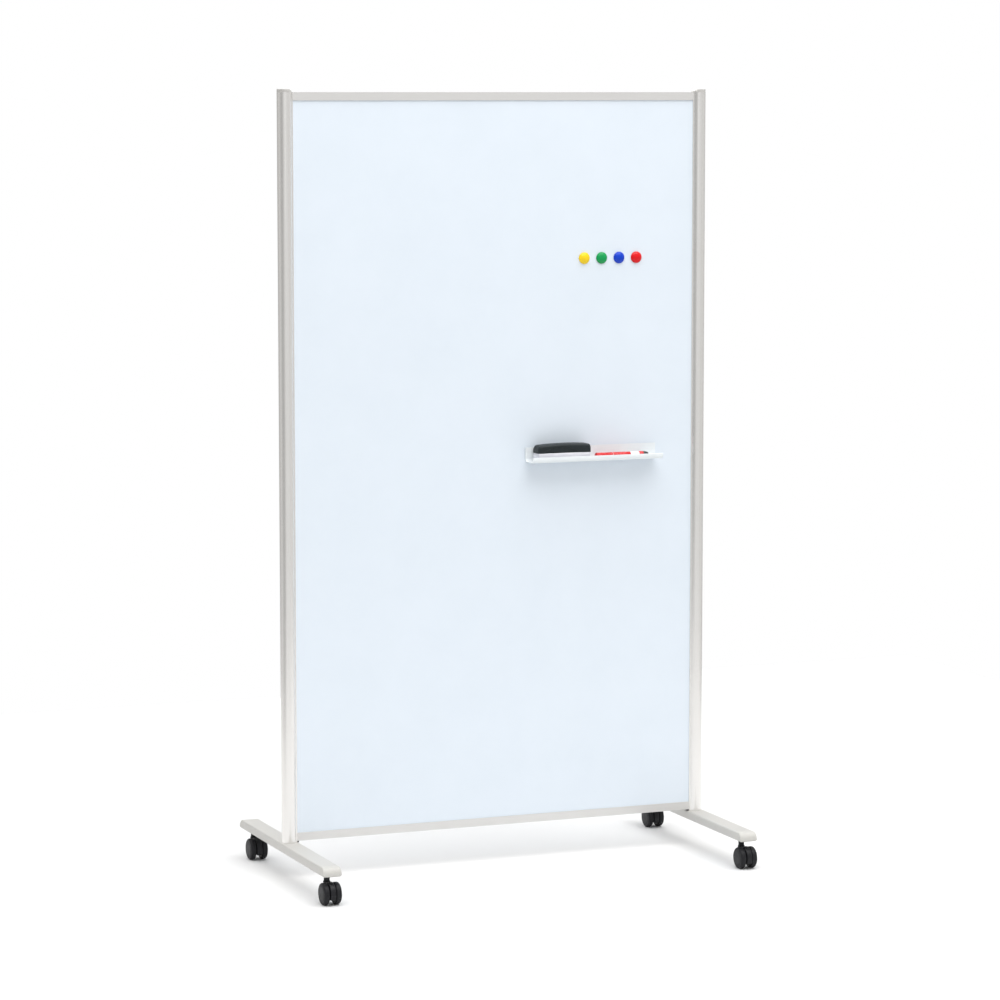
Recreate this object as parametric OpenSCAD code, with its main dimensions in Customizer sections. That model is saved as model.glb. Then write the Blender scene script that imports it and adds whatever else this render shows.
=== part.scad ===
// Rolling whiteboard on two castered feet, with tray, eraser, marker and magnets.
// Millimetres. +X along the board's width, -Y toward the writing side, +Z up, floor at z = 0.

/* [Frame] */

// overall height from the floor to the top of the post caps
total_h = 1800; // [1400:10:2200]
// distance between the centres of the two posts
post_gap = 1022; // [700:2:1600]
// outer diameter of each round post
post_d = 34; // [30:0.5:42]
// wall thickness of the posts, rails and feet
wall = 2; // [1.6:0.1:3]
// height of the top and bottom rails
rail_h = 18.5; // [16:0.5:26]
// front to back depth of the rails
rail_d = 18; // [17:0.5:24]
// bottom of the bottom rail above the floor
rail_z = 89.5; // [88:0.5:160]
// height of the plastic cap on each post
cap_h = 7; // [5:0.5:14]

/* [Board] */

// thickness of the whole writing panel
board_t = 13; // [10:0.5:14]
// thickness of each steel face sheet
sheet_t = 0.6; // [0.4:0.1:1.2]
// how far the panel reaches into each post
board_grip = 7; // [4:0.5:7]

/* [Feet] */

// front to back length of each foot
foot_l = 600; // [400:10:800]
// width of each foot
foot_w = 43; // [36:1:60]
// height of each foot tube
foot_h = 21; // [18:1:30]
// underside of the feet above the floor
foot_z = 65; // [64:0.5:70]
// corner radius of the foot tube
foot_r = 4; // [3:0.5:6]
// visible length of each foot end cap
nose_l = 30; // [24:1:45]

/* [Casters] */

// wheel diameter
wheel_d = 50; // [46:1:52]
// width of one wheel
wheel_w = 14; // [11:0.5:16]
// width of the body between the two wheels
body_w = 13; // [12.5:0.5:16]
// distance from the swivel axis back to the axle
trail = 22; // [20:0.5:24]
// distance from the middle of the foot to each swivel axis
stem_y = 260; // [150:5:265]

/* [Tray and magnets] */

// tray length
tray_l = 330; // [300:5:450]
// tray depth out from its magnet strip
tray_d = 47; // [46:0.5:60]
// left end of the tray, measured from the middle of the board
tray_x = 70; // [-400:5:80]
// underside of the tray above the floor
tray_z = 940; // [700:10:1200]
// height of the tray's back plate
tray_h = 33.5; // [26:0.5:60]
// diameter of each round magnet
magnet_d = 27; // [24:0.5:36]
// distance between neighbouring magnets
magnet_gap = 44; // [38:0.5:70]
// height of the magnets above the floor
magnet_z = 1410; // [1100:10:1600]

/* [Hidden] */

$fn = 96;
post_r = post_d / 2;
post_x = post_gap / 2;
foot_top = foot_z + foot_h;
post_top = total_h - cap_h;
slot_w = board_t + 0.2;
slot_depth = board_grip + 0.7;
rail_end = post_x - post_r - 0.2;
rail_top_z = post_top - rail_h;
groove = 8.3;
board_x = rail_end + board_grip;
board_low = rail_z + rail_h - groove + 0.5;
board_high = rail_top_z + groove - 0.5;
face_y = -board_t / 2;
wheel_r = wheel_d / 2;
axle_r = 3;
stem_pin_r = 4;
stem_top_r = 5.5;
socket_r = 8.5;
run_gap = 0.05;
neck_top = foot_z - 3;
neck_r = 6.7;
joiner_t = 5;
joiner_l = 40 + slot_depth + wall + 2;
tray_t = 1.5;
tray_r = 9;
strip_t = 1.5;
tray_back = face_y - 0.1 - strip_t;
tray_front = tray_back - tray_d;
tray_floor = tray_z + tray_t;
magnet_x = 218;

// ---------------------------------------------------------------- shared shapes

// extrude a (y, z) outline along +X
module along_x(length) {
    rotate([90, 0, 90]) linear_extrude(length) children();
}

// rectangle with rounded corners, centred on the origin
module round_rect(w, h, r) {
    square([w - 2 * r, h], center = true);
    square([w, h - 2 * r], center = true);
    for (sx = [-1, 1], sy = [-1, 1])
        translate([sx * (w / 2 - r), sy * (h / 2 - r)]) circle(r);
}

// put a piece drawn for the right side on the right (1) or mirror it to the left (-1)
module on_side(side) {
    if (side > 0) children();
    else mirror([1, 0, 0]) children();
}

// ---------------------------------------------------------------- posts and rails

// D-shaped hollow behind the post's channel, grown or shrunk by g
module post_hollow(g) {
    web_x = -post_r + slot_depth + wall;
    intersection() {
        circle(post_r - wall + g);
        translate([web_x - g, -post_r]) square([2 * post_r, 2 * post_r]);
    }
}

module post_outline() {
    difference() {
        union() {
            circle(post_r);
            translate([-post_r - 0.2, -slot_w / 2 - 1.8]) square([8, slot_w + 3.6]);
        }
        post_hollow(0);
        translate([-post_r - 1, -slot_w / 2]) square([slot_depth + 1, slot_w]);
    }
}

module post(side) {
    color([0.78, 0.77, 0.75]) on_side(side) difference() {
        translate([post_x, 0, foot_top]) linear_extrude(post_top - foot_top) post_outline();
        joiner_bars(0.15);
    }
}

// flat bars from inside each rail's chamber through the post's web, grown by g
module joiner_bars(g) {
    for (z0 = [rail_z + wall + 0.6, post_top - wall - 0.6 - joiner_t])
        translate([rail_end - 40 - g, -6 - g, z0 - g])
            cube([joiner_l + 2 * g, 12 + 2 * g, joiner_t + 2 * g]);
}

module rail_joiners() {
    color([0.55, 0.56, 0.58]) for (side = [-1, 1]) on_side(side) joiner_bars(0);
}

// rail outline with its groove facing up, from z = 0 to rail_h
module rail_outline() {
    chamber = rail_h - groove - 2 * wall;
    difference() {
        translate([-rail_d / 2, 0]) square([rail_d, rail_h]);
        translate([-slot_w / 2, rail_h - groove]) square([slot_w, groove + 1]);
        translate([-rail_d / 2 + wall, wall]) square([rail_d - 2 * wall, chamber]);
    }
}

module bottom_rail() {
    color([0.77, 0.76, 0.74])
        translate([-rail_end, 0, rail_z]) along_x(2 * rail_end) rail_outline();
}

module top_rail() {
    color([0.78, 0.77, 0.75]) translate([-rail_end, 0, rail_top_z + rail_h])
        along_x(2 * rail_end) mirror([0, 1]) rail_outline();
}

module rail_spacers() {
    color([0.09, 0.09, 0.09]) for (side = [-1, 1]) on_side(side)
        translate([rail_end - 4.2, -7.5, foot_top]) cube([4, 15, rail_z - foot_top]);
}

// cap: full height over two thirds of the post, then sloping down to its inner edge
module post_cap(side) {
    color([0.69, 0.68, 0.66]) on_side(side) translate([post_x, 0, 0]) {
        intersection() {
            translate([0, 0, post_top]) cylinder(r = post_r - 0.2, h = cap_h);
            translate([0, 40, 0]) rotate([90, 0, 0]) linear_extrude(80) polygon([
                [-post_r - 1, post_top], [post_r + 1, post_top],
                [post_r + 1, total_h], [-post_r / 3, total_h],
                [-post_r - 1, post_top + 0.8]]);
        }
        difference() {
            translate([0, 0, post_top - 12]) linear_extrude(13) post_hollow(-0.15);
            translate([-post_x, 0, 0]) joiner_bars(0.3);
        }
    }
}

// ---------------------------------------------------------------- writing panel

module panel_layer(y0, thickness) {
    translate([-board_x, y0, board_low]) cube([2 * board_x, thickness, board_high - board_low]);
}

module front_sheet() { color([0.90, 0.94, 0.97]) panel_layer(face_y, sheet_t); }
module board_core() {
    color([0.72, 0.62, 0.46]) panel_layer(face_y + sheet_t, board_t - 2 * sheet_t);
}
module back_sheet() { color([0.90, 0.94, 0.97]) panel_layer(-face_y - sheet_t, sheet_t); }

// ---------------------------------------------------------------- feet

module foot(side) {
    tube_l = foot_l - 2 * nose_l;
    color([0.80, 0.79, 0.76]) translate([side * post_x, 0, foot_z]) difference() {
        translate([0, tube_l / 2, foot_h / 2]) rotate([90, 0, 0]) linear_extrude(tube_l)
            difference() {
                round_rect(foot_w, foot_h, foot_r);
                round_rect(foot_w - 2 * wall, foot_h - 2 * wall, foot_r - wall);
            }
        // post bolt above, its access hole below
        translate([0, 0, foot_h - wall - 1]) cylinder(r = 5.1, h = wall + 2);
        translate([0, 0, -1]) cylinder(r = 10, h = wall + 2);
        for (end = [-1, 1])
            translate([0, end * stem_y, -1]) cylinder(r = stem_top_r + 0.1, h = wall + 2);
    }
}

// end cap with a quarter-round nose, drawn for the front end
module nose(side, end) {
    inside = foot_l / 2 - nose_l;
    nose_r = foot_h - 3;
    color([0.79, 0.78, 0.75]) translate([side * post_x, 0, foot_z])
        mirror([0, end > 0 ? 1 : 0, 0]) {
            intersection() {
                translate([0, 0, foot_h / 2]) rotate([90, 0, 0]) linear_extrude(foot_l)
                    round_rect(foot_w, foot_h, foot_r);
                translate([-foot_w / 2 - 1, 0, 0]) along_x(foot_w + 2) union() {
                    translate([-foot_l / 2 + nose_r, 0])
                        square([nose_l - nose_r, foot_h]);
                    translate([-foot_l / 2 + nose_r, foot_h - nose_r]) intersection() {
                        circle(nose_r);
                        translate([-nose_r, 0]) square([nose_r, nose_r]);
                    }
                    translate([-foot_l / 2, 0]) square([nose_r, foot_h - nose_r]);
                }
            }
            // plug inside the tube, around the caster socket
            difference() {
                translate([0, -inside - 1, foot_h / 2]) rotate([-90, 0, 0]) linear_extrude(36)
                    round_rect(foot_w - 2 * wall - 0.4, foot_h - 2 * wall - 0.4, 1.5);
                translate([0, -stem_y, -1]) cylinder(r = socket_r + 0.1, h = foot_h + 2);
            }
        }
}

module post_bolts() {
    color([0.62, 0.63, 0.65]) for (side = [-1, 1]) translate([side * post_x, 0, foot_top]) {
        translate([0, 0, -wall - 6.3]) cylinder(r = 8, h = 6.3);
        translate([0, 0, -wall - 0.1]) cylinder(r = 5, h = wall + 30.1);
    }
}

module post_inserts() {
    color([0.66, 0.67, 0.69]) for (side = [-1, 1]) on_side(side) difference() {
        translate([post_x, 0, foot_top + 0.3]) linear_extrude(42) difference() {
            post_hollow(-0.15);
            circle(5 + run_gap);
        }
        joiner_bars(0.3);
    }
}

module caster_sockets() {
    color([0.60, 0.61, 0.63]) for (side = [-1, 1], end = [-1, 1])
        translate([side * post_x, end * stem_y, foot_z + wall]) difference() {
            cylinder(r = socket_r, h = foot_h - 2 * wall);
            translate([0, 0, -1]) cylinder(r = stem_top_r + 0.02, h = foot_h - 2 * wall - 1);
        }
}

// ---------------------------------------------------------------- casters

// move to one swivel axis on the floor
module at_stem(side, end) {
    translate([side * post_x, end * stem_y, 0]) children();
}

module caster_stem(side, end) {
    color([0.50, 0.51, 0.53]) at_stem(side, end) {
        translate([0, 0, neck_top + 0.3]) cylinder(r = 6.5, h = foot_z - neck_top - 0.3);
        translate([0, 0, foot_z - 0.1]) cylinder(r = stem_top_r, h = foot_h - wall - 3.9);
        translate([0, 0, 38]) cylinder(r = stem_pin_r, h = neck_top - 37);
    }
}

// body that carries the axle and fills the space between the wheels
module caster_body(side, end) {
    color([0.11, 0.11, 0.12]) at_stem(side, end) difference() {
        union() {
            intersection() {
                translate([-body_w / 2, 0, 0]) along_x(body_w) union() {
                    translate([-trail, wheel_r]) circle(wheel_r + 1);
                    translate([-trail, wheel_r]) square([trail + neck_r, 23]);
                }
                translate([-20, -60, 13]) cube([40, 80, 60]);
            }
            translate([0, 0, wheel_r + 22]) cylinder(r = neck_r, h = neck_top - wheel_r - 22);
        }
        translate([0, 0, 37.5]) cylinder(r = stem_pin_r + run_gap, h = 40);
        translate([-20, -trail, wheel_r]) rotate([0, 90, 0]) cylinder(r = axle_r, h = 40);
    }
}

module axle(side, end) {
    reach = body_w / 2 + 0.7 + wheel_w - 3.5;
    color([0.64, 0.65, 0.67]) at_stem(side, end)
        translate([-reach, -trail, wheel_r]) rotate([0, 90, 0])
            cylinder(r = axle_r, h = 2 * reach);
}

// wheel half-section: (radius, distance from the inner face), both tread edges rounded
module wheel_section() {
    outer_r = 5;
    inner_r = 4;
    difference() {
        union() {
            square([wheel_r - outer_r, wheel_w]);
            square([wheel_r - inner_r, inner_r]);
            translate([0, inner_r]) square([wheel_r, wheel_w - outer_r - inner_r]);
            intersection() {
                square([wheel_r, wheel_w]);
                union() {
                    translate([wheel_r - outer_r, wheel_w - outer_r]) circle(outer_r);
                    translate([wheel_r - inner_r, inner_r]) circle(inner_r);
                }
            }
        }
        // blind hub bore, and a shallow groove around the wide hub cap
        square([axle_r + run_gap, wheel_w - 3]);
        translate([wheel_r - 6.5, wheel_w]) circle(0.9);
    }
}

// facing: 1 turns the domed face to +X, -1 to -X
module wheel(side, end, facing) {
    color([0.13, 0.13, 0.14]) at_stem(side, end)
        translate([facing * (body_w / 2 + 0.7), -trail, wheel_r])
            rotate([0, facing * 90, 0]) rotate_extrude() wheel_section();
}

// ---------------------------------------------------------------- tray, eraser, marker

// quarter ring with its corner at the origin, in the quadrant (qx, qy)
module quarter_ring(r_out, r_in, qx, qy) {
    intersection() {
        difference() {
            circle(r_out);
            circle(r_in);
        }
        translate([qx < 0 ? -r_out : 0, qy < 0 ? -r_out : 0]) square([r_out, r_out]);
    }
}

module tray() {
    color([0.93, 0.93, 0.92]) translate([tray_x, 0, 0]) along_x(tray_l) {
        translate([tray_back - tray_t, tray_z + tray_r]) square([tray_t, tray_h - tray_r]);
        translate([tray_back - tray_r, tray_z + tray_r])
            quarter_ring(tray_r, tray_r - tray_t, 1, -1);
        translate([tray_front + tray_r, tray_z]) square([tray_d - 2 * tray_r, tray_t]);
        translate([tray_front + tray_r, tray_z + tray_r])
            quarter_ring(tray_r, tray_r - tray_t, -1, -1);
        translate([tray_front, tray_z + tray_r]) square([tray_t, 3]);
        translate([tray_front + 0.95, tray_z + tray_r + 3]) circle(0.95);
    }
}

module tray_magnet_strip() {
    color([0.16, 0.15, 0.15]) translate([tray_x + 5, tray_back, tray_z + 5])
        cube([tray_l - 10, strip_t, tray_h - 7]);
}

eraser_l = 131;
eraser_x = tray_x + 16;
pad_top = tray_floor + 20.5;
grip_h = 21;

module eraser_grip() {
    color([0.09, 0.10, 0.11]) translate([eraser_x, tray_front + 3.3, pad_top]) intersection() {
        // side outline: arched top, round front end, tighter back end
        translate([0, 38, 0]) rotate([90, 0, 0]) linear_extrude(38) intersection() {
            translate([eraser_l / 2 + 8, grip_h - 760]) circle(760, $fn = 400);
            union() {
                square([eraser_l, 10]);
                translate([9, 0]) square([eraser_l - 13, grip_h + 1]);
                translate([9, 9]) circle(9);
                translate([eraser_l - 4.5, 13]) circle(4.5);
            }
        }
        along_x(eraser_l) union() {
            square([38, grip_h - 6]);
            translate([6, 0]) square([26, grip_h]);
            for (y = [6, 32]) translate([y, grip_h - 6]) circle(6);
        }
    }
}

module eraser_pad() {
    color([0.86, 0.86, 0.89]) translate([eraser_x, 0, 0]) {
        translate([1, tray_front + 8.6, tray_floor + 0.05]) cube([eraser_l - 2, 29, 9]);
        translate([0.5, tray_front + 3.8, tray_floor + 9]) cube([eraser_l - 1, 37, 11.5]);
    }
}

marker_x = 234;
marker_y = -40;
marker_z = tray_floor + 8.4;

// turn a (radius, length) outline into a piece along +X on the marker's axis
module marker_turn(x0) {
    translate([marker_x + x0, marker_y, marker_z]) rotate([0, 90, 0]) rotate_extrude() children();
}

module marker_cap() {
    color([0.80, 0.09, 0.10]) marker_turn(0) difference() {
        union() {
            translate([0, 1.5]) square([8.3, 40.5]);
            square([6.8, 3]);
            translate([6.8, 1.5]) circle(1.5);
        }
        translate([-9, -1]) square([9, 60]);
        translate([0, 2]) square([6.3, 41]);
    }
}

module marker_barrel() {
    color([0.92, 0.92, 0.91]) marker_turn(0) difference() {
        polygon([[4.4, 22], [6, 30], [6, 42.3], [7.8, 42.3], [7.8, 120], [2.6, 120], [2.6, 22]]);
        translate([0, 60]) square([6.2, 61]);
    }
}

module marker_sleeve() {
    color([0.80, 0.09, 0.10]) {
        marker_turn(43) translate([7.8, 0]) square([0.4, 44]);
        marker_turn(109) translate([7.8, 0]) square([0.4, 11]);
    }
}

module marker_plug() {
    color([0.08, 0.08, 0.08]) marker_turn(120)
        polygon([[0, -4], [6, -4], [6, 0], [7.8, 0], [7.4, 7], [5.2, 13], [0, 13]]);
}

module marker_nib() {
    color([0.75, 0.08, 0.09]) marker_turn(15)
        polygon([[0, 0], [1, 0], [2.5, 2.5], [2.5, 20], [0, 20]]);
}

// ---------------------------------------------------------------- magnets

// stand on the board's face at magnet place i, with +Z turned to point off the board
module at_magnet(i) {
    translate([magnet_x + i * magnet_gap, face_y - 0.05, magnet_z]) rotate([90, 0, 0])
        children();
}

module magnet(i, tint) {
    r = magnet_d / 2;
    color(tint) at_magnet(i) rotate_extrude() difference() {
        union() {
            square([r, 4]);
            square([r - 3, 7]);
            translate([r - 3, 4]) circle(3);
            intersection() {
                translate([0, -52.4]) circle(60, $fn = 360);
                translate([0, 6]) square([r - 3.5, 2]);
            }
        }
        translate([-r, -1]) square([r, 12]);
        translate([0, -5]) square([r + 1, 5]);
        square([10.3, 4.2]);
    }
}

module disc(i) {
    color([0.22, 0.22, 0.23]) at_magnet(i) translate([0, 0, 0.1]) cylinder(r = 10.2, h = 4);
}

post(-1);  // post_left
post(1);  // post_right
post_cap(-1);  // post_cap_left
post_cap(1);  // post_cap_right
top_rail();
bottom_rail();
rail_joiners();
rail_spacers();
front_sheet();
board_core();
back_sheet();
foot(-1);  // foot_left
foot(1);  // foot_right
nose(-1, -1);  // nose_front_left
nose(1, -1);  // nose_front_right
nose(-1, 1);  // nose_back_left
nose(1, 1);  // nose_back_right
post_bolts();
post_inserts();
caster_sockets();
caster_stem(-1, -1);  // stem_front_left
caster_stem(1, -1);  // stem_front_right
caster_stem(-1, 1);  // stem_back_left
caster_stem(1, 1);  // stem_back_right
caster_body(-1, -1);  // body_front_left
caster_body(1, -1);  // body_front_right
caster_body(-1, 1);  // body_back_left
caster_body(1, 1);  // body_back_right
axle(-1, -1);  // axle_front_left
axle(1, -1);  // axle_front_right
axle(-1, 1);  // axle_back_left
axle(1, 1);  // axle_back_right
wheel(-1, -1, -1);  // outer_wheel_front_left
wheel(-1, -1, 1);  // inner_wheel_front_left
wheel(1, -1, 1);  // outer_wheel_front_right
wheel(1, -1, -1);  // inner_wheel_front_right
wheel(-1, 1, -1);  // outer_wheel_back_left
wheel(-1, 1, 1);  // inner_wheel_back_left
wheel(1, 1, 1);  // outer_wheel_back_right
wheel(1, 1, -1);  // inner_wheel_back_right
tray();
tray_magnet_strip();
eraser_grip();
eraser_pad();
marker_cap();
marker_barrel();
marker_sleeve();
marker_plug();
marker_nib();
magnet(0, [0.93, 0.79, 0.10]);  // magnet_yellow
magnet(1, [0.09, 0.62, 0.32]);  // magnet_green
magnet(2, [0.06, 0.38, 0.72]);  // magnet_blue
magnet(3, [0.85, 0.11, 0.10]);  // magnet_red
disc(0);  // disc_yellow
disc(1);  // disc_green
disc(2);  // disc_blue
disc(3);  // disc_red
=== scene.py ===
import math

import bmesh
import bpy
import numpy as np
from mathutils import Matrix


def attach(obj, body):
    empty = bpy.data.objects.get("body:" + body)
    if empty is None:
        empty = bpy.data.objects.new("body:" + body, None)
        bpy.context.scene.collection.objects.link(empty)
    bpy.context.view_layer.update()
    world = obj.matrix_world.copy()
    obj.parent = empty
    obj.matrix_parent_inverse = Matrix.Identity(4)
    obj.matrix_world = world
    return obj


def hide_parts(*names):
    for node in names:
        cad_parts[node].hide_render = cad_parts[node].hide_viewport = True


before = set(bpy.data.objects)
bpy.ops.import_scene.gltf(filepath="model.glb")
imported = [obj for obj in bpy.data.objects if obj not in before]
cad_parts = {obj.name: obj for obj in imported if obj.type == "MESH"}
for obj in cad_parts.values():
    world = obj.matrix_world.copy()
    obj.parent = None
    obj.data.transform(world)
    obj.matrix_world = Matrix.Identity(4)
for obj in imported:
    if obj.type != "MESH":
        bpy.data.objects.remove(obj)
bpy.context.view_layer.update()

# ---------------------------------------------------------------- studio
# A white studio: a pale square of floor, a broad overhead bank, a faint tall soft box
# beside the camera and a rear bank for the board's back, under a bright ceiling. The
# walls are light grey with darker gaps, which give a metal tube its long soft bands.
scene = bpy.context.scene
scene.view_settings.view_transform = "Standard"

camera = bpy.data.objects.new("camera", bpy.data.cameras.new("camera"))
scene.collection.objects.link(camera)
camera.location = (-3.12516, -7.75450, 1.79043)
camera.rotation_euler = (math.radians(90 - 6.3963), 0, math.radians(-22.0133))
camera.data.sensor_width = 36
camera.data.lens = 130.612
camera.data.clip_end = 200
scene.camera = camera

FLOOR_HALF = 2.4
floor_mesh = bpy.data.meshes.new("floor")
floor_mesh.from_pydata(
    [(-FLOOR_HALF, -FLOOR_HALF, 0), (FLOOR_HALF, -FLOOR_HALF, 0),
     (FLOOR_HALF, FLOOR_HALF, 0), (-FLOOR_HALF, FLOOR_HALF, 0)], [], [(0, 1, 2, 3)])
floor = bpy.data.objects.new("floor", floor_mesh)
scene.collection.objects.link(floor)
floor_paint = bpy.data.materials.new("floor_paint")
floor_paint.use_nodes = True
shader = floor_paint.node_tree.nodes["Principled BSDF"]
shader.inputs["Base Color"].default_value = (0.77, 0.77, 0.77, 1)
shader.inputs["Roughness"].default_value = 0.9
shader.inputs["Specular IOR Level"].default_value = 0.1
floor_mesh.materials.append(floor_paint)

world = bpy.data.worlds.new("studio_walls")
scene.world = world
world.use_nodes = True
tree = world.node_tree
nodes, links = tree.nodes, tree.links
nodes.clear()
out = nodes.new("ShaderNodeOutputWorld")
coords = nodes.new("ShaderNodeTexCoord")
split = nodes.new("ShaderNodeSeparateXYZ")
links.new(coords.outputs["Generated"], split.inputs[0])
# azimuth of the wall, 0 straight in front of the board, as a share of a full turn
turn = nodes.new("ShaderNodeMath")
turn.operation = "ARCTAN2"
minus_y = nodes.new("ShaderNodeMath")
minus_y.operation = "MULTIPLY"
minus_y.inputs[1].default_value = -1
links.new(split.outputs["Y"], minus_y.inputs[0])
links.new(split.outputs["X"], turn.inputs[0])
links.new(minus_y.outputs[0], turn.inputs[1])
share = nodes.new("ShaderNodeMapRange")
share.inputs["From Min"].default_value = -math.pi
share.inputs["From Max"].default_value = math.pi
links.new(turn.outputs[0], share.inputs["Value"])
walls = nodes.new("ShaderNodeValToRGB")
walls.color_ramp.interpolation = "B_SPLINE"
WALL_TONES = [(-180, 0.66), (-145, 0.66), (-113, 0.95), (-92, 0.82), (-72, 0.50), (-50, 0.52),
              (-30, 0.90), (-12, 1.52), (4, 1.50), (24, 0.95), (48, 0.86), (76, 1.05),
              (110, 0.76), (180, 0.66)]
while len(walls.color_ramp.elements) < len(WALL_TONES):
    walls.color_ramp.elements.new(0.5)
for stop, (degrees, tone) in zip(walls.color_ramp.elements, WALL_TONES):
    stop.position = (degrees + 180) / 360
    stop.color = (tone, tone * 0.995, tone * 0.985, 1)
links.new(share.outputs[0], walls.inputs["Fac"])
height = nodes.new("ShaderNodeMapRange")
height.inputs["From Min"].default_value = 0.35
height.inputs["From Max"].default_value = 0.95
links.new(split.outputs["Z"], height.inputs["Value"])
ceiling = nodes.new("ShaderNodeMix")
ceiling.data_type = "RGBA"
ceiling.inputs["B"].default_value = (2.05, 2.05, 2.05, 1)
links.new(height.outputs[0], ceiling.inputs["Factor"])
links.new(walls.outputs["Color"], ceiling.inputs["A"])
seen = nodes.new("ShaderNodeBackground")
seen.inputs["Color"].default_value = (1, 1, 1, 1)
seen.inputs["Strength"].default_value = 1.0
lit = nodes.new("ShaderNodeBackground")
lit.inputs["Strength"].default_value = 0.72
links.new(ceiling.outputs["Result"], lit.inputs["Color"])
ray = nodes.new("ShaderNodeLightPath")
pick = nodes.new("ShaderNodeMixShader")
links.new(ray.outputs["Is Camera Ray"], pick.inputs["Fac"])
links.new(lit.outputs[0], pick.inputs[1])
links.new(seen.outputs[0], pick.inputs[2])
links.new(pick.outputs[0], out.inputs["Surface"])


def soft_box(name, place, target, size, watts):
    """Rectangular area light at place, turned so that its -Z axis points at target."""
    lamp = bpy.data.lights.new(name, "AREA")
    lamp.shape = "RECTANGLE"
    lamp.size, lamp.size_y = size
    lamp.energy = watts
    box = bpy.data.objects.new(name, lamp)
    scene.collection.objects.link(box)
    box.location = place
    aim = np.array(target, float) - np.array(place, float)
    flat = math.hypot(aim[0], aim[1])
    box.rotation_euler = (math.atan2(flat, -aim[2]), 0, math.atan2(-aim[0], aim[1]))
    return box


soft_box("overhead_bank", (0.2, -1.2, 4.6), (0, 0, 0.4), (5.0, 4.0), 150)
soft_box("key_box", (-1.2, -6.2, 2.6), (0, 0, 1.0), (1.3, 2.4), 4)
soft_box("rear_bank", (0.5, 4.5, 3.6), (0, 0, 0.6), (3.5, 2.5), 45)

# ---------------------------------------------------------------- posts
# Each post is a round extrusion, 34 mm across, in satin anodised aluminium, with a
# channel on its inner side that grips the panel's edge. The die leaves faint lines
# along its length, and the anodising varies a little in tone.


def speckled(name, colour, roughness, metallic=0.0, tone=0.03, rough_swing=0.06,
             grain=60.0, stretch=(1, 1, 1), bump=0.15, bump_depth=0.0002, fine=None,
             shine=0.5):
    """Principled finish whose colour, roughness and bump follow two noises.

    A broad noise shifts the colour by plus or minus tone and the roughness by
    rough_swing; a fine noise, fine times a metre or grain * 12, drives the bump. shine
    is the strength of the plain surface reflection.
    """
    material = bpy.data.materials.new(name)
    material.use_nodes = True
    tree = material.node_tree
    nodes, links = tree.nodes, tree.links
    shader = nodes["Principled BSDF"]
    shader.inputs["Metallic"].default_value = metallic
    shader.inputs["Specular IOR Level"].default_value = shine
    coords = nodes.new("ShaderNodeTexCoord")
    place = nodes.new("ShaderNodeMapping")
    place.inputs["Scale"].default_value = stretch
    links.new(coords.outputs["Object"], place.inputs["Vector"])
    broad = nodes.new("ShaderNodeTexNoise")
    broad.inputs["Scale"].default_value = grain
    broad.inputs["Detail"].default_value = 4
    links.new(place.outputs[0], broad.inputs["Vector"])
    shade = nodes.new("ShaderNodeValToRGB")
    low = tuple(max(0.0, c * (1 - tone)) for c in colour)
    high = tuple(min(1.0, c * (1 + tone)) for c in colour)
    shade.color_ramp.elements[0].position = 0.3
    shade.color_ramp.elements[1].position = 0.7
    shade.color_ramp.elements[0].color = (*low, 1)
    shade.color_ramp.elements[1].color = (*high, 1)
    links.new(broad.outputs["Fac"], shade.inputs["Fac"])
    links.new(shade.outputs["Color"], shader.inputs["Base Color"])
    gloss = nodes.new("ShaderNodeMapRange")
    gloss.inputs["From Min"].default_value = 0.3
    gloss.inputs["From Max"].default_value = 0.7
    gloss.inputs["To Min"].default_value = roughness - rough_swing
    gloss.inputs["To Max"].default_value = roughness + rough_swing
    links.new(broad.outputs["Fac"], gloss.inputs["Value"])
    links.new(gloss.outputs[0], shader.inputs["Roughness"])
    tiny = nodes.new("ShaderNodeTexNoise")
    tiny.inputs["Scale"].default_value = fine or grain * 12
    tiny.inputs["Detail"].default_value = 3
    links.new(place.outputs[0], tiny.inputs["Vector"])
    relief = nodes.new("ShaderNodeBump")
    relief.inputs["Strength"].default_value = bump
    relief.inputs["Distance"].default_value = bump_depth
    links.new(tiny.outputs["Fac"], relief.inputs["Height"])
    links.new(relief.outputs[0], shader.inputs["Normal"])
    return material


def dress(node, material):
    """Give every material slot of a CAD node one finish."""
    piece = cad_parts[node]
    for slot in piece.material_slots:
        slot.material = material


anodised_upright = speckled("anodised_upright", (0.80, 0.785, 0.765), 0.25,
                            metallic=0.80, tone=0.008, rough_swing=0.004, grain=55,
                            stretch=(14, 14, 0.3), bump=0.01, bump_depth=0.0001, fine=90)
for side in ("left", "right"):
    dress("post_" + side, anodised_upright)

# ---------------------------------------------------------------- post caps
# A moulded grey plastic cap closes the top of each post. It is flat over two thirds of
# the post, slopes down to the post's inner edge, and its plug is a push fit.
POST_X = 0.511
POST_R = 0.017
CAP_LOW, CAP_HIGH, CAP_RIM = 1.793, 1.800, 0.0008


def grid_faces(rows, columns, close_columns):
    """Quads between neighbouring rows of a rows by columns grid, as a (n, 4) array."""
    r = np.arange(rows - 1)[:, None]
    c = np.arange(columns if close_columns else columns - 1)[None, :]
    n = (c + 1) % columns
    quads = np.stack([r * columns + c, r * columns + n,
                      (r + 1) * columns + n, (r + 1) * columns + c], axis=-1)
    return quads.reshape(-1, 4)


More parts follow.
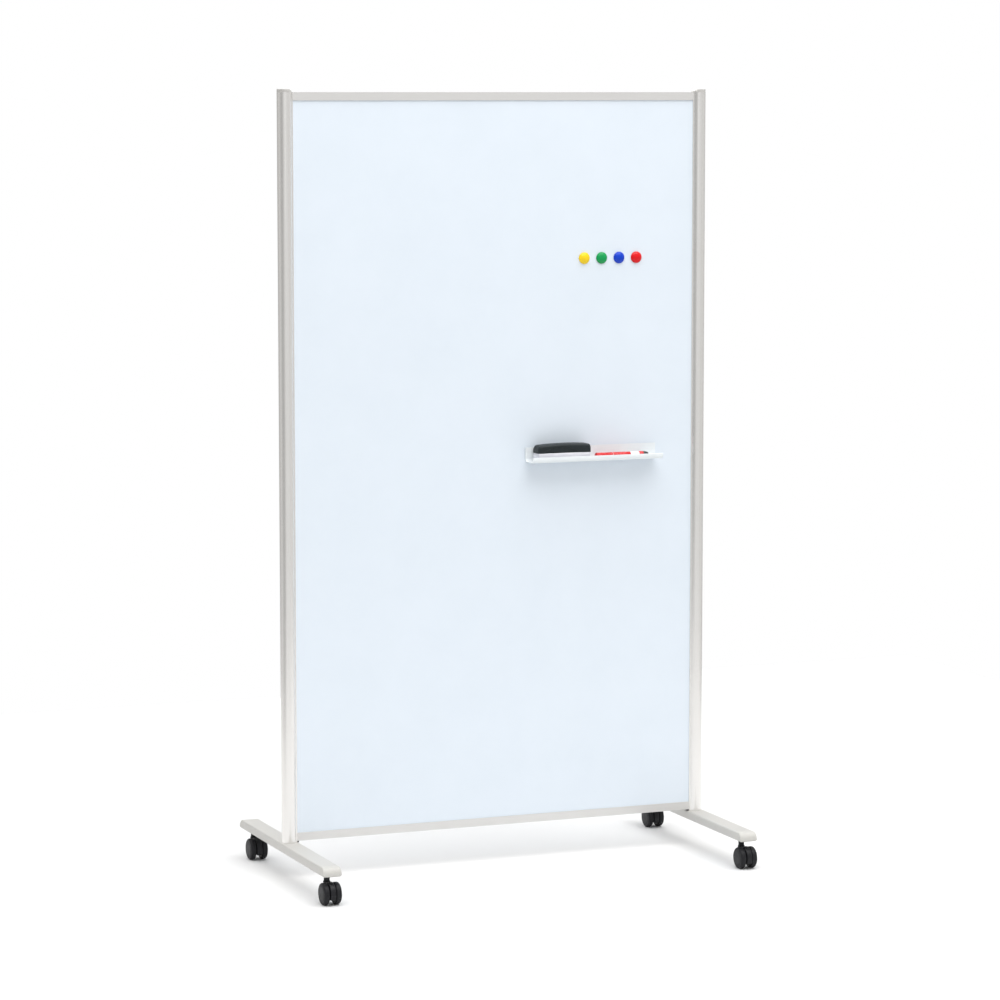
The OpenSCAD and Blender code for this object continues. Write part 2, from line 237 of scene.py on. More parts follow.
def build(name, grids, body, material, sharp=32.0):
    """Join grids of points into one closed, outward-facing piece that rides on a body.

    Each grid is (points, close_columns), and points has shape (rows, columns, 3). A
    first or last row whose points coincide is a pole, merged to one point. Edges
    sharper than sharp, in degrees, stay crisp.
    """
    verts, faces, base = [], [], 0
    for points, closed in grids:
        quads = grid_faces(points.shape[0], points.shape[1], closed)
        verts.append(points.reshape(-1, 3))
        faces.append(quads + base)
        base += points.shape[0] * points.shape[1]
    mesh = bpy.data.meshes.new(name)
    mesh.from_pydata(np.concatenate(verts).tolist(), [], np.concatenate(faces).tolist())
    work = bmesh.new()
    work.from_mesh(mesh)
    bmesh.ops.remove_doubles(work, verts=work.verts, dist=2e-6)
    bmesh.ops.dissolve_degenerate(work, dist=1e-7, edges=work.edges)
    bmesh.ops.recalc_face_normals(work, faces=work.faces)
    work.to_mesh(mesh)
    work.free()
    mesh.shade_smooth()
    mesh.set_sharp_from_angle(angle=math.radians(sharp))
    piece = bpy.data.objects.new(name, mesh)
    scene.collection.objects.link(piece)
    mesh.materials.append(material)
    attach(piece, body)
    return piece


def cap_surface(side):
    """Cap as rings around the post's centre, over the angle a and the ring number.

    The outline is a circle just inside the post's. The top is flat at CAP_HIGH, then
    falls on a straight slope toward the inner side, and the rim is a 0.8 mm quarter
    round between the top and the upright wall.
    """
    a = np.linspace(0, 2 * np.pi, 145)[:-1]
    ca, sa = np.cos(a), np.sin(a)
    edge = POST_R - 0.0002

    def top_at(x):
        return np.clip(CAP_HIGH + (x + 0.0062) * (0.0060 / 0.0110), CAP_LOW + 0.0009, CAP_HIGH)

    rows = []
    for s in np.linspace(0, 1, 25):
        r = (edge - CAP_RIM) * s
        rows.append(np.stack([r * ca, r * sa, top_at(r * ca)], -1))
    for t in np.linspace(0, np.pi / 2, 6)[1:]:
        r = edge - CAP_RIM * (1 - np.sin(t))
        drop = np.minimum(CAP_RIM, (top_at(edge * ca) - CAP_LOW) * 0.8) * (1 - np.cos(t))
        rows.append(np.stack([r * ca, r * sa, top_at(r * ca) - drop], -1))
    rows.append(np.stack([edge * ca, edge * sa, np.full_like(a, CAP_LOW)], -1))
    rows.append(np.stack([0 * ca, 0 * sa, np.full_like(a, CAP_LOW)], -1))
    points = np.array(rows)
    points[..., 0] = side * (points[..., 0] + POST_X)
    return points


cap_plastic = speckled("cap_plastic", (0.47, 0.46, 0.44), 0.42, tone=0.04, grain=180,
                       bump=0.25, bump_depth=0.00015, fine=2600)
for side, sign in (("left", -1), ("right", 1)):
    cap = build("cap_" + side, [(cap_surface(sign), True)], "frame",
                cap_plastic, sharp=40)
    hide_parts("post_cap_" + side)

# ---------------------------------------------------------------- rails
# The top and bottom rails are square-cut lengths of a smaller extrusion, anodised like
# the posts. A joiner bar inside each end passes into the post, and a rubber spacer sits
# between the bottom rail's ends and the feet.
anodised_rail = speckled("anodised_rail", (0.66, 0.65, 0.635), 0.30, metallic=0.35, tone=0.008,
                         rough_swing=0.005, grain=55, stretch=(0.3, 14, 14), bump=0.01,
                         bump_depth=0.0001, fine=90)
zinc = speckled("zinc_plate", (0.52, 0.53, 0.56), 0.34, metallic=1.0, tone=0.10,
                rough_swing=0.08, grain=240, bump=0.2, bump_depth=0.0001)
spacer_rubber = speckled("spacer_rubber", (0.018, 0.018, 0.018), 0.78, tone=0.2, grain=300,
                         bump=0.4, bump_depth=0.0002)
dress("top_rail", anodised_rail)
dress("bottom_rail", anodised_rail)
dress("rail_joiners", zinc)
dress("rail_spacers", spacer_rubber)

# ---------------------------------------------------------------- writing panel
# The panel is a sandwich: two enamelled steel sheets glued to a paper honeycomb core.
# The enamel is white with a cool cast, smooth and glossy, with a slight orange peel and
# the haze that wiping leaves behind.
enamel = bpy.data.materials.new("white_enamel")
enamel.use_nodes = True
nodes, links = enamel.node_tree.nodes, enamel.node_tree.links
shader = nodes["Principled BSDF"]
shader.inputs["IOR"].default_value = 1.5
shader.inputs["Specular IOR Level"].default_value = 0.42
coords = nodes.new("ShaderNodeTexCoord")
cloud = nodes.new("ShaderNodeTexNoise")
cloud.inputs["Scale"].default_value = 7
cloud.inputs["Detail"].default_value = 6
cloud.inputs["Roughness"].default_value = 0.6
links.new(coords.outputs["Object"], cloud.inputs["Vector"])
tone = nodes.new("ShaderNodeValToRGB")
tone.color_ramp.elements[0].position = 0.32
tone.color_ramp.elements[1].position = 0.68
tone.color_ramp.elements[0].color = (0.700, 0.765, 0.832, 1)
tone.color_ramp.elements[1].color = (0.720, 0.783, 0.850, 1)
links.new(cloud.outputs["Fac"], tone.inputs["Fac"])
links.new(tone.outputs["Color"], shader.inputs["Base Color"])
wipe_place = nodes.new("ShaderNodeMapping")
wipe_place.inputs["Rotation"].default_value = (0, 0.5, 0)
wipe_place.inputs["Scale"].default_value = (3, 1, 16)
links.new(coords.outputs["Object"], wipe_place.inputs["Vector"])
wipe = nodes.new("ShaderNodeTexNoise")
wipe.inputs["Scale"].default_value = 2.4
wipe.inputs["Detail"].default_value = 5
links.new(wipe_place.outputs[0], wipe.inputs["Vector"])
haze = nodes.new("ShaderNodeMapRange")
haze.inputs["From Min"].default_value = 0.3
haze.inputs["From Max"].default_value = 0.75
haze.inputs["To Min"].default_value = 0.28
haze.inputs["To Max"].default_value = 0.33
links.new(wipe.outputs["Fac"], haze.inputs["Value"])
links.new(haze.outputs[0], shader.inputs["Roughness"])
peel = nodes.new("ShaderNodeTexNoise")
peel.inputs["Scale"].default_value = 420
peel.inputs["Detail"].default_value = 2
links.new(coords.outputs["Object"], peel.inputs["Vector"])
peel_relief = nodes.new("ShaderNodeBump")
peel_relief.inputs["Strength"].default_value = 0.06
peel_relief.inputs["Distance"].default_value = 0.0002
links.new(peel.outputs["Fac"], peel_relief.inputs["Height"])
links.new(peel_relief.outputs[0], shader.inputs["Normal"])
dress("front_sheet", enamel)
dress("back_sheet", enamel)

honeycomb = bpy.data.materials.new("paper_honeycomb")
honeycomb.use_nodes = True
nodes, links = honeycomb.node_tree.nodes, honeycomb.node_tree.links
shader = nodes["Principled BSDF"]
shader.inputs["Roughness"].default_value = 0.85
coords = nodes.new("ShaderNodeTexCoord")
cells = nodes.new("ShaderNodeTexVoronoi")
cells.feature = "DISTANCE_TO_EDGE"
cells.inputs["Scale"].default_value = 90
cells.inputs["Randomness"].default_value = 0.25
links.new(coords.outputs["Object"], cells.inputs["Vector"])
# Painted shade: light card along the cell edges, dark brown over the rest of each cell for the
# shade inside the hollow honeycomb cells.
card_walls_and_cell_shade = nodes.new("ShaderNodeValToRGB")
card_walls_and_cell_shade.color_ramp.elements[0].color = (0.52, 0.40, 0.25, 1)
card_walls_and_cell_shade.color_ramp.elements[1].position = 0.12
card_walls_and_cell_shade.color_ramp.elements[1].color = (0.16, 0.11, 0.06, 1)
links.new(cells.outputs["Distance"], card_walls_and_cell_shade.inputs["Fac"])
links.new(card_walls_and_cell_shade.outputs["Color"], shader.inputs["Base Color"])
dress("board_core", honeycomb)

# ---------------------------------------------------------------- feet
# Each foot is a flat rounded tube in satin silver-grey paint, under a post and bolted
# to it. A moulded cap with a quarter-round nose plugs each end, and a fine seam shows
# where it meets the tube.
foot_paint = speckled("foot_paint", (0.54, 0.53, 0.505), 0.42, metallic=0.10, tone=0.03,
                      rough_swing=0.05, grain=40, bump=0.18, bump_depth=0.00012, fine=2200)
nose_plastic = speckled("nose_plastic", (0.53, 0.52, 0.49), 0.45, metallic=0.0, tone=0.03,
                        grain=120, bump=0.22, bump_depth=0.00015, fine=2400)
FOOT_W, FOOT_H, FOOT_Z = 0.043, 0.021, 0.065
FOOT_END, SEAM_Y, NOSE_R, NOSE_LIP_R = 0.300, 0.270, 0.015, 0.0025
for side in ("left", "right"):
    dress("foot_" + side, foot_paint)


def rounded_ring(width, low, high, radius, count=14):
    """Rounded rectangle in x and z as one closed loop, count points to each corner.

    radius may be smaller on low outlines: it never passes 0.48 of either side.
    """
    r = min(radius, 0.48 * width, 0.48 * (high - low))
    t = np.linspace(0, np.pi / 2, count)
    corners = [(width / 2 - r, high - r, 0), (-width / 2 + r, high - r, np.pi / 2),
               (-width / 2 + r, low + r, np.pi), (width / 2 - r, low + r, 1.5 * np.pi)]
    x = np.concatenate([cx + r * np.cos(t + turn) for cx, cz, turn in corners])
    z = np.concatenate([cz + r * np.sin(t + turn) for cx, cz, turn in corners])
    return x, z


def nose_surface(sign_x, sign_y):
    """Rings along the foot: straight to the nose's start, then the top follows a
    quarter circle of NOSE_R down to a 6 mm lip, the underside rises on a quarter circle
    of NOSE_LIP_R over its last stretch, and the end closes on a pole."""
    stations = [(SEAM_Y + 0.0001, -0.0005), (SEAM_Y + 0.0005, 0.0)]
    stations += [(FOOT_END - NOSE_R, 0.0)]
    rings = []
    for y, grow in stations:
        x, z = rounded_ring(FOOT_W + 2 * grow, FOOT_Z - grow, FOOT_Z + FOOT_H + grow, 0.004)
        rings.append(np.stack([x, np.full_like(x, y), z], -1))
    for t in np.linspace(0.06, np.pi / 2 - 0.02, 22):
        y = FOOT_END - NOSE_R + NOSE_R * np.sin(t)
        top = FOOT_Z + FOOT_H - NOSE_R + NOSE_R * np.cos(t)
        over = max(0.0, y - (FOOT_END - NOSE_LIP_R)) / NOSE_LIP_R
        low = FOOT_Z + NOSE_LIP_R * (1 - math.sqrt(1 - over * over))
        x, z = rounded_ring(FOOT_W, low, top, 0.004)
        rings.append(np.stack([x, np.full_like(x, y), z], -1))
    last = rings[-1]
    middle = last.mean(axis=0)
    rings.append(middle + (last - middle) * 0.97 + [0, 0.0002, 0])
    rings.append(np.broadcast_to(middle + [0, 0.0002, 0], last.shape))
    first = rings[0]
    rings.insert(0, np.broadcast_to(first.mean(axis=0), first.shape))
    points = np.array(rings)
    points[..., 0] = points[..., 0] + sign_x * POST_X
    points[..., 1] = np.minimum(points[..., 1], FOOT_END) * sign_y
    return points


for end, sign_y in (("front", -1), ("back", 1)):
    for side, sign_x in (("left", -1), ("right", 1)):
        name = "nose_%s_%s" % (end, side)
        nose = build("moulded_" + name, [(nose_surface(sign_x, sign_y), True)], "frame",
                     nose_plastic, sharp=50)
        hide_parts(name)

# ---------------------------------------------------------------- fixings
# A bolt with a round head holds each post to its foot through a threaded insert in the
# post's hollow. Steel sockets in the feet take the caster stems.
insert_metal = speckled("mill_aluminium", (0.62, 0.62, 0.63), 0.42, metallic=1.0, tone=0.06,
                        grain=300, bump=0.2, bump_depth=0.0001)
dress("post_inserts", insert_metal)
dress("post_bolts", zinc)
dress("caster_sockets", zinc)

# ---------------------------------------------------------------- casters
# Four swivel casters in black nylon. A steel stem turns in the neck of a moulded body,
# the body fills the space between two 50 mm wheels like a mudguard, and both wheels
# run on one steel axle. The wheels have a rounded tread edge and a plain hub cap.
STEM_Y, TRAIL, WHEEL_R, BODY_W, NECK_R = 0.260, 0.022, 0.025, 0.013, 0.0067
stem_steel = speckled("stem_steel", (0.30, 0.30, 0.31), 0.36, metallic=1.0, tone=0.08,
                      grain=260, bump=0.15, bump_depth=0.0001)
caster_black = speckled("caster_black", (0.009, 0.009, 0.011), 0.42, tone=0.16,
                        rough_swing=0.07, grain=210, bump=0.22, bump_depth=0.00012, fine=3000,
                        shine=0.25)
wheel_black = speckled("wheel_black", (0.011, 0.011, 0.013), 0.46, tone=0.18,
                       rough_swing=0.08, grain=150, bump=0.25, bump_depth=0.00015, fine=2600,
                       shine=0.22)


def wheel_surface(centre, facing, segments=112):
    """Wheel turned about x: its half-section is a list of radius and distance out from
    the inner face, carried round a full turn. Both tread edges are rounded, 4 mm inside
    and 5 mm outside, and a groove at 18.5 mm runs round a wide, faintly domed hub cap."""
    quarter = np.linspace(0, np.pi / 2, 12)
    radius = np.concatenate([
        [0.0, 3.0, 20.6], 21 + 4 * np.sin(quarter), 20 + 5 * np.cos(quarter),
        [19.5, 19.1, 18.85, 18.5, 18.15, 17.9, 17.5, 13.0, 7.0, 0.0]]) / 1000
    out = np.concatenate([
        [0.0, 0.0, 0.0], 4 - 4 * np.cos(quarter), 9 + 4.6 * np.sin(quarter),
        [13.62, 13.55, 13.15, 13.0, 13.15, 13.55, 13.65, 13.8, 13.93, 13.98]]) / 1000
    a = np.linspace(0, 2 * np.pi, segments + 1)[:-1]
    x = centre[0] + facing * (BODY_W / 2 + 0.0007 + out)[:, None] + 0 * a
    y = centre[1] + radius[:, None] * np.cos(a)
    z = centre[2] + radius[:, None] * np.sin(a)
    return np.stack([x, y, z], -1)


def body_surface(stem):
    """Mudguard between the wheels, as rings around the axle over the angle a.

    The outline is the farther of the 26 mm guard and a block reaching back under the
    neck, down to a flat cut 13 mm above the floor, smoothed over 16 degrees; rows step
    across the width, with the rim rounded by a quarter circle of 2.2 mm at each side.
    """
    a = np.linspace(0, 2 * np.pi, 181)[:-1]
    ca, sa = np.cos(a), np.sin(a)
    reach_y = np.where(ca > 1e-6, (TRAIL + NECK_R) / np.maximum(ca, 1e-6), 9.0)
    reach_up = np.where(sa > 1e-6, 0.0232 / np.maximum(sa, 1e-6), 9.0)
    block = np.where((ca > 0) & (sa > -0.02), np.minimum(reach_y, reach_up), 0)
    guard = np.full_like(a, WHEEL_R + 0.001)
    outline = np.maximum(guard, block)
    cut = np.where(sa < -1e-6, 0.012 / np.maximum(-sa, 1e-6), 9.0)
    outline = np.minimum(outline, cut)
    kernel = np.hanning(9)
    kernel /= kernel.sum()
    outline = np.convolve(np.concatenate([outline[-4:], outline, outline[:4]]), kernel, "valid")
    half, round_r = BODY_W / 2, 0.0022
    t = np.linspace(0, np.pi / 2, 6)
    across = np.concatenate([[-half, -half], -half + round_r * (1 - np.cos(t)),
                             half - round_r * (1 - np.cos(t[::-1])), [half, half]])
    inset = np.concatenate([[1.0, 0.008], round_r * (1 - np.sin(t)),
                            round_r * (1 - np.sin(t[::-1])), [0.008, 1.0]])
    r = np.maximum(outline[None, :] - inset[:, None], 0.0)
    y = stem[1] - TRAIL + r * ca
    z = WHEEL_R + r * sa
    x = stem[0] + across[:, None] + 0 * a
    return np.stack([x, y, z], -1)


def neck_surface(stem):
    """Neck turned about the stem's axis: a 13.4 mm sleeve that flares 2 mm where it
    meets the guard, with a rounded lip and a dished top."""
    profile = np.array([[0.0, 0.040], [0.0064, 0.040], [0.0064, 0.0472], [0.0086, 0.0474],
                        [0.0082, 0.0482], [0.0075, 0.0494], [0.0070, 0.0508],
                        [0.0067, 0.0525], [NECK_R, 0.0606], [0.0065, 0.0614],
                        [0.0061, 0.0619], [0.0054, 0.0620], [0.0049, 0.0616], [0.0, 0.0616]])
    a = np.linspace(0, 2 * np.pi, 65)[:-1]
    x = stem[0] + profile[:, :1] * np.cos(a)
    y = stem[1] + profile[:, :1] * np.sin(a)
    z = profile[:, 1:] + 0 * a
    return np.stack([x, y, z], -1)


for end, sign_y in (("front", -1), ("back", 1)):
    for side, sign_x in (("left", -1), ("right", 1)):
        place = "%s_%s" % (end, side)
        stem = (sign_x * POST_X, sign_y * STEM_Y)
        hub = (stem[0], stem[1] - TRAIL, WHEEL_R)
        guard = build("guard_" + place, [(body_surface(stem), True), (neck_surface(stem), True)],
                      "caster_" + place, caster_black, sharp=50)
        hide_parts("body_" + place)
        for which, facing in (("outer", sign_x), ("inner", -sign_x)):
            name = "%s_wheel_%s" % (which, place)
            wheel = build("turned_" + name, [(wheel_surface(hub, facing), True)], name,
                          wheel_black, sharp=50)
            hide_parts(name)
        dress("axle_" + place, zinc)
        dress("stem_" + place, stem_steel)

# ---------------------------------------------------------------- tray
# The tray is a short white extrusion with a J section: an upright back plate, a
# rounded trough and a low front lip with a bead. Its ends are open, and a magnetic
# rubber strip glued to its back holds it on the steel.
TRAY_X0, TRAY_X1 = 0.070, 0.400
TRAY_BACK, TRAY_FRONT = -0.0081, -0.0551
TRAY_Z, TRAY_TOP, TRAY_T, TRAY_R = 0.940, 0.9735, 0.0015, 0.009
tray_paint = speckled("tray_white", (0.78, 0.82, 0.84), 0.38, tone=0.02, rough_swing=0.05,
                      grain=60, stretch=(1, 6, 6), bump=0.12, bump_depth=0.0001, fine=900)


def tray_section():
    """Middle line of the J section with its inner and outer sides, as (y, z) rows."""
    t = np.linspace(0, np.pi / 2, 12)
    mid_r = TRAY_R - TRAY_T / 2
    back_y, front_y = TRAY_BACK - TRAY_R, TRAY_FRONT + TRAY_R
    low = TRAY_Z + TRAY_R
    y = np.concatenate([[TRAY_BACK - TRAY_T / 2] * 2, back_y + mid_r * np.cos(t),
                        front_y - mid_r * np.sin(t), [TRAY_FRONT + TRAY_T / 2]])
    z = np.concatenate([[TRAY_TOP, low + 0.012], low - mid_r * np.sin(t),
                        low - mid_r * np.cos(t), [low + 0.0030]])
    line = np.stack([y, z], -1)
    step = np.gradient(line, axis=0)
    step /= np.linalg.norm(step, axis=1, keepdims=True)
    normal = np.stack([step[:, 1], -step[:, 0]], -1)
    return line + normal * TRAY_T / 2, line - normal * TRAY_T / 2


one_side, other_side = tray_section()
loop = np.concatenate([one_side, other_side[::-1]])
stations = np.linspace(TRAY_X0, TRAY_X1, 12)
sleeve = np.stack([np.broadcast_to(stations[:, None], (12, len(loop))),
                   np.broadcast_to(loop[:, 0], (12, len(loop))),
                   np.broadcast_to(loop[:, 1], (12, len(loop)))], -1)
ends = []
for x in (TRAY_X0, TRAY_X1):
    ends.append((np.stack([np.stack([np.full(len(s), x), s[:, 0], s[:, 1]], -1)
                           for s in (one_side, other_side)]), False))
bead_a = np.linspace(0, 2 * np.pi, 25)[:-1]
bead = np.stack([np.broadcast_to(stations[:, None], (12, 24)),
                 np.broadcast_to(TRAY_FRONT + 0.00095 + 0.00095 * np.cos(bead_a), (12, 24)),
                 np.broadcast_to(TRAY_Z + TRAY_R + 0.003 + 0.00095 * np.sin(bead_a), (12, 24))], -1)
first, last = bead[:1].mean(axis=1, keepdims=True), bead[-1:].mean(axis=1, keepdims=True)
bead = np.concatenate([np.broadcast_to(first, (1, 24, 3)), bead,
                       np.broadcast_to(last, (1, 24, 3))])
trough = build("tray_extrusion", [(sleeve, True)] + ends + [(bead, True)], "tray",
               tray_paint, sharp=35)
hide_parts("tray")
strip_rubber = speckled("strip_rubber", (0.022, 0.021, 0.021), 0.7, tone=0.15, grain=200,
                        bump=0.3, bump_depth=0.0002)
dress("tray_magnet_strip", strip_rubber)

# ---------------------------------------------------------------- eraser
# The eraser has a moulded black grip with an arched back, softly rounded edges and a
# shallow swept finger recess on each long side, over a block of pale felt.
ERASER_X, ERASER_L = 0.086, 0.131
GRIP_Y0, GRIP_Y1 = -0.0518, -0.0138
GRIP_Z, GRIP_H = 0.962, 0.021
FRONT_R, BACK_R, ARCH_R, EDGE_R, RECESS = 0.009, 0.0045, 0.760, 0.006, 0.0025
grip_black = speckled("grip_black", (0.011, 0.017, 0.019), 0.48, tone=0.2, rough_swing=0.06,
                      grain=130, bump=0.35, bump_depth=0.0002, fine=1900, shine=0.3)


def grip_surface():
    """Rings across the grip at stations along x, closed on a pole at each end.

    The height over x is a circle's arc of 760 mm radius, brought down by a quarter
    round at each end; the ring is a rounded rectangle with 6 mm upper corners; the
    finger recess pushes both long sides in by 2.5 mm below a swept curve.
    """
    e = np.linspace(0, np.pi / 2, 12)
    s = np.concatenate([FRONT_R * (1 - np.cos(e)), np.linspace(0.012, ERASER_L - 0.0075, 84),
                        ERASER_L - BACK_R * (1 - np.cos(e[::-1]))])
    left = np.clip((FRONT_R - s) / FRONT_R, 0, 1)
    right = np.clip((s - (ERASER_L - BACK_R)) / BACK_R, 0, 1)
    drop = FRONT_R * (1 - np.sqrt(1 - left ** 2)) + BACK_R * (1 - np.sqrt(1 - right ** 2))
    crown = ARCH_R - np.sqrt(ARCH_R ** 2 - (s - ERASER_L / 2 - 0.008) ** 2)
    top = GRIP_H - crown - drop
    rings = []
    middle = (GRIP_Y0 + GRIP_Y1) / 2
    for x, h, d in zip(s, top, drop):
        half = (GRIP_Y1 - GRIP_Y0) / 2 - 0.35 * d
        t = np.linspace(0, np.pi / 2, 10)
        r = min(EDGE_R, 0.45 * h)
        foot = 0.0012
        y = np.concatenate([half - foot + foot * np.cos(t - np.pi / 2), np.full(28, half),
                            half - r + r * np.cos(t), -half + r - r * np.sin(t),
                            np.full(28, -half), -half + foot - foot * np.cos(t[::-1] - np.pi / 2)])
        z = np.concatenate([foot + foot * np.sin(t - np.pi / 2),
                            np.linspace(foot, h - r, 30)[1:-1], h - r + r * np.sin(t),
                            h - r + r * np.cos(t), np.linspace(h - r, foot, 30)[1:-1],
                            foot + foot * np.sin(t[::-1] - np.pi / 2)])
        curve = 0.0135 * np.exp(-((x - 0.055) / 0.036) ** 2) + 0.0015
        inside = 1 / (1 + np.exp((z - curve) / 0.00035))
        inside *= np.clip((x - 0.010) / 0.02, 0, 1) * np.clip((0.114 - x) / 0.02, 0, 1)
        side = np.clip((np.abs(y) - (half - 0.004)) / 0.004, 0, 1)
        y = y - np.sign(y) * RECESS * inside * side
        rings.append(np.stack([np.full_like(y, x), y, z], -1))
    points = np.array(rings)
    poles = [np.broadcast_to(points[i].mean(axis=0) * [1, 1, 0.6], points[i].shape)
             for i in (0, -1)]
    points = np.concatenate([poles[0][None], points, poles[1][None]])
    return points + [ERASER_X, middle, GRIP_Z]


grip = build("moulded_grip", [(grip_surface(), True)], "eraser", grip_black,
             sharp=60)
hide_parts("eraser_grip")

felt = bpy.data.materials.new("eraser_felt")
felt.use_nodes = True
nodes, links = felt.node_tree.nodes, felt.node_tree.links
shader = nodes["Principled BSDF"]
shader.inputs["Roughness"].default_value = 0.95
shader.inputs["Sheen Weight"].default_value = 0.4
shader.inputs["Sheen Roughness"].default_value = 0.5
coords = nodes.new("ShaderNodeTexCoord")
fibre = nodes.new("ShaderNodeTexNoise")
fibre.inputs["Scale"].default_value = 1300
fibre.inputs["Detail"].default_value = 6
fibre.inputs["Distortion"].default_value = 1.5
links.new(coords.outputs["Object"], fibre.inputs["Vector"])
layer_place = nodes.new("ShaderNodeMapping")
layer_place.inputs["Scale"].default_value = (25, 25, 420)
links.new(coords.outputs["Object"], layer_place.inputs["Vector"])
layers = nodes.new("ShaderNodeTexNoise")
layers.inputs["Scale"].default_value = 1.0
links.new(layer_place.outputs[0], layers.inputs["Vector"])
felt_tone = nodes.new("ShaderNodeValToRGB")
felt_tone.color_ramp.elements[0].position = 0.3
felt_tone.color_ramp.elements[0].color = (0.62, 0.62, 0.68, 1)
felt_tone.color_ramp.elements[1].position = 0.7
felt_tone.color_ramp.elements[1].color = (0.78, 0.78, 0.83, 1)
links.new(layers.outputs["Fac"], felt_tone.inputs["Fac"])
links.new(felt_tone.outputs["Color"], shader.inputs["Base Color"])
nap = nodes.new("ShaderNodeBump")
nap.inputs["Strength"].default_value = 0.6
nap.inputs["Distance"].default_value = 0.0006
links.new(fibre.outputs["Fac"], nap.inputs["Height"])
links.new(nap.outputs[0], shader.inputs["Normal"])


def felt_block(x0, x1, y0, y1, z0, z1, radius=0.0015):
    """Soft-edged block: rings are rounded rectangles in x and y, drawn in by a quarter
    round at the top and bottom and closed on a pole."""
    t = np.linspace(0, np.pi / 2, 6)
    inset = np.concatenate([[9], radius * (1 - np.sin(t)), radius * (1 - np.cos(t)), [9]])
    z = np.concatenate([[z0], z0 + radius * (1 - np.cos(t)), z1 - radius * (1 - np.sin(t)),
                        [z1]])
    rows = []
    for shrink, level in zip(inset, z):
        if shrink > 1:
            x = np.full(40, (x0 + x1) / 2)
            y = np.full(40, (y0 + y1) / 2)
        else:
            x, y = rounded_ring(x1 - x0 - 2 * shrink, y0 + shrink, y1 - shrink,
                                max(0.003 - shrink, 0.0008), 10)
            x = x + (x0 + x1) / 2
        rows.append(np.stack([x, y, np.full(40, level)], -1))
    return np.array(rows)


pad = build("felt_pad", [
    (felt_block(ERASER_X + 0.001, ERASER_X + ERASER_L - 0.001, -0.0465, -0.0175,
                0.94155, 0.9515), True),
    (felt_block(ERASER_X + 0.0005, ERASER_X + ERASER_L - 0.0005, -0.0513, -0.0143,
                0.9505, 0.9620), True)], "eraser", felt, sharp=60)
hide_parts("eraser_pad")

# ---------------------------------------------------------------- marker
# The board marker lies in the tray behind the lip: a red cap, a white barrel with a red
# printed sleeve and a red ring, and a black plug in the end. All are glossy mouldings
# turned about one axis, with a red fibre nib inside the cap.
MARKER_X, MARKER_Y, MARKER_Z = 0.234, -0.040, 0.9499


def turned_along_x(profile, segments=64):
    """Outline of (distance along, radius) rows carried round the marker's axis."""
    profile = np.array(profile, float) / 1000
    a = np.linspace(0, 2 * np.pi, segments + 1)[:-1]
    x = MARKER_X + profile[:, :1] + 0 * a
    y = MARKER_Y + profile[:, 1:] * np.cos(a)
    z = MARKER_Z + profile[:, 1:] * np.sin(a)
    return np.stack([x, y, z], -1)


marker_red = speckled("marker_red", (0.62, 0.008, 0.010), 0.26, tone=0.06, grain=150,
                      bump=0.08, bump_depth=0.0001)
marker_white = speckled("marker_white", (0.82, 0.82, 0.81), 0.28, tone=0.02, grain=150,
                        bump=0.08, bump_depth=0.0001)
marker_black = speckled("marker_black", (0.015, 0.015, 0.016), 0.30, tone=0.2, grain=150,
                        bump=0.1, bump_depth=0.0001)
nib_fibre = speckled("nib_fibre", (0.45, 0.01, 0.012), 0.9, tone=0.2, grain=500,
                     stretch=(0.2, 4, 4), bump=0.5, bump_depth=0.0002)
cap_piece = build("turned_marker_cap", [(turned_along_x([
    (2.0, 0), (2.0, 6.3), (41.6, 6.3), (42.0, 6.7), (42.0, 8.0), (41.7, 8.3), (36.0, 8.3),
    (35.7, 8.05), (35.1, 8.05), (34.8, 8.3), (3.2, 8.3), (1.6, 8.15), (0.6, 7.6), (0.1, 6.8),
    (0.0, 5.6), (0.5, 5.0), (0.5, 0)]), True)], "marker_cap", marker_red, sharp=40)
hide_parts("marker_cap")
barrel_piece = build("turned_marker_barrel", [(turned_along_x([
    (22, 0), (22, 3.9), (22.5, 4.4), (30, 6.0), (42.2, 6.0), (42.4, 7.5), (42.7, 7.8),
    (120, 7.8), (120, 0)]), True)], "marker_pen", marker_white, sharp=40)
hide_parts("marker_barrel")
sleeve_piece = build("printed_sleeve", [(turned_along_x([
    (43, 7.7), (43, 8.1), (43.2, 8.2), (86.8, 8.2), (87, 8.1), (87, 7.7), (43, 7.7)]), True),
    (turned_along_x([
        (109, 7.7), (109, 8.1), (109.2, 8.2), (119.8, 8.2), (120, 8.1), (120, 7.7),
        (109, 7.7)]), True)], "marker_pen", marker_red, sharp=40)
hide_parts("marker_sleeve")
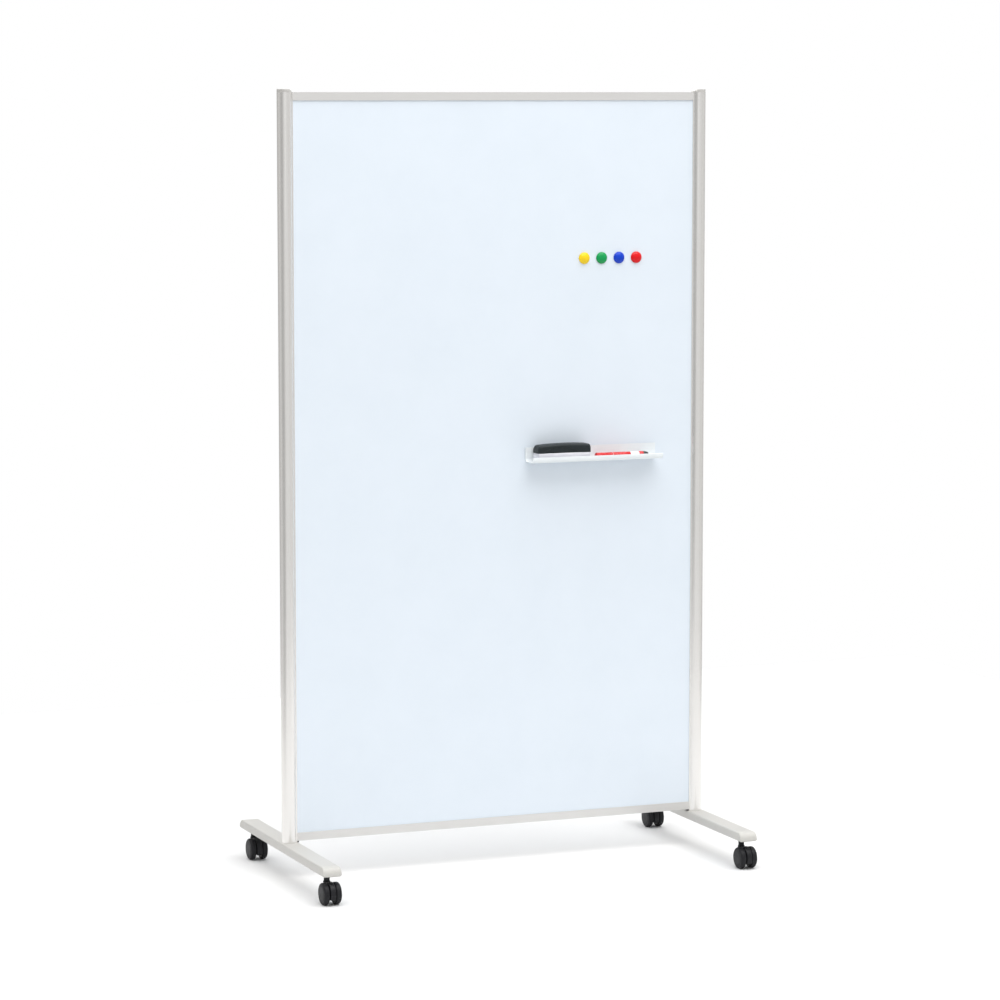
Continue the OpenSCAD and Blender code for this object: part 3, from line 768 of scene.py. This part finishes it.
plug_piece = build("turned_marker_plug", [(turned_along_x([
    (119, 0), (119, 6), (120.05, 6), (120.05, 7.6), (120.3, 7.8), (124, 7.7), (127, 7.4),
    (131.5, 6.0), (132.6, 5.4), (133, 4.6), (133, 0)]), True)], "marker_pen",
    marker_black, sharp=45)
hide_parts("marker_plug")
dress("marker_nib", nib_fibre)

# ---------------------------------------------------------------- magnets
# Four round board magnets: a glossy coloured cap, moulded as a strongly domed button
# with a short upright rim, over a grey ferrite disc pressed into its back.
MAGNET_Z, MAGNET_Y = 1.410, -0.00655
MAGNET_R, MAGNET_H, BALL_R = 13.5, 7.6, 18.8  # mm
ferrite = speckled("ferrite_grey", (0.045, 0.045, 0.048), 0.75, tone=0.2, grain=500,
                   bump=0.4, bump_depth=0.0002)


def magnet_surface(x0):
    """Cap turned about y: (radius, height off the board) rows carried round a turn; a
    1.9 mm upright rim, then a dome that is a slice of a ball of 18.8 mm radius."""
    dome = np.linspace(MAGNET_R, 0, 26)
    radius = np.concatenate([[0, MAGNET_R - 0.3, MAGNET_R], dome])
    height = np.concatenate([[0, 0, 0.3],
                             MAGNET_H - BALL_R + np.sqrt(BALL_R ** 2 - dome ** 2)])
    a = np.linspace(0, 2 * np.pi, 97)[:-1]
    x = x0 + radius[:, None] / 1000 * np.cos(a)
    z = MAGNET_Z + radius[:, None] / 1000 * np.sin(a)
    y = MAGNET_Y - height[:, None] / 1000 + 0 * a
    return np.stack([x, y, z], -1)


MAGNETS = (("yellow", 0.218, (0.86, 0.60, 0.010)), ("green", 0.262, (0.001, 0.30, 0.075)),
           ("blue", 0.306, (0.001, 0.045, 0.52)), ("red", 0.350, (0.68, 0.003, 0.006)))
for colour, x, tint in MAGNETS:
    glossy = speckled("magnet_%s_gloss" % colour, tint, 0.20, tone=0.05, rough_swing=0.04,
                      grain=160, bump=0.06, bump_depth=0.0001, shine=0.3)
    cap_round = build("domed_" + colour, [(magnet_surface(x), True)], "magnet_" + colour,
                      glossy, sharp=50)
    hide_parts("magnet_" + colour)
    dress("disc_" + colour, ferrite)
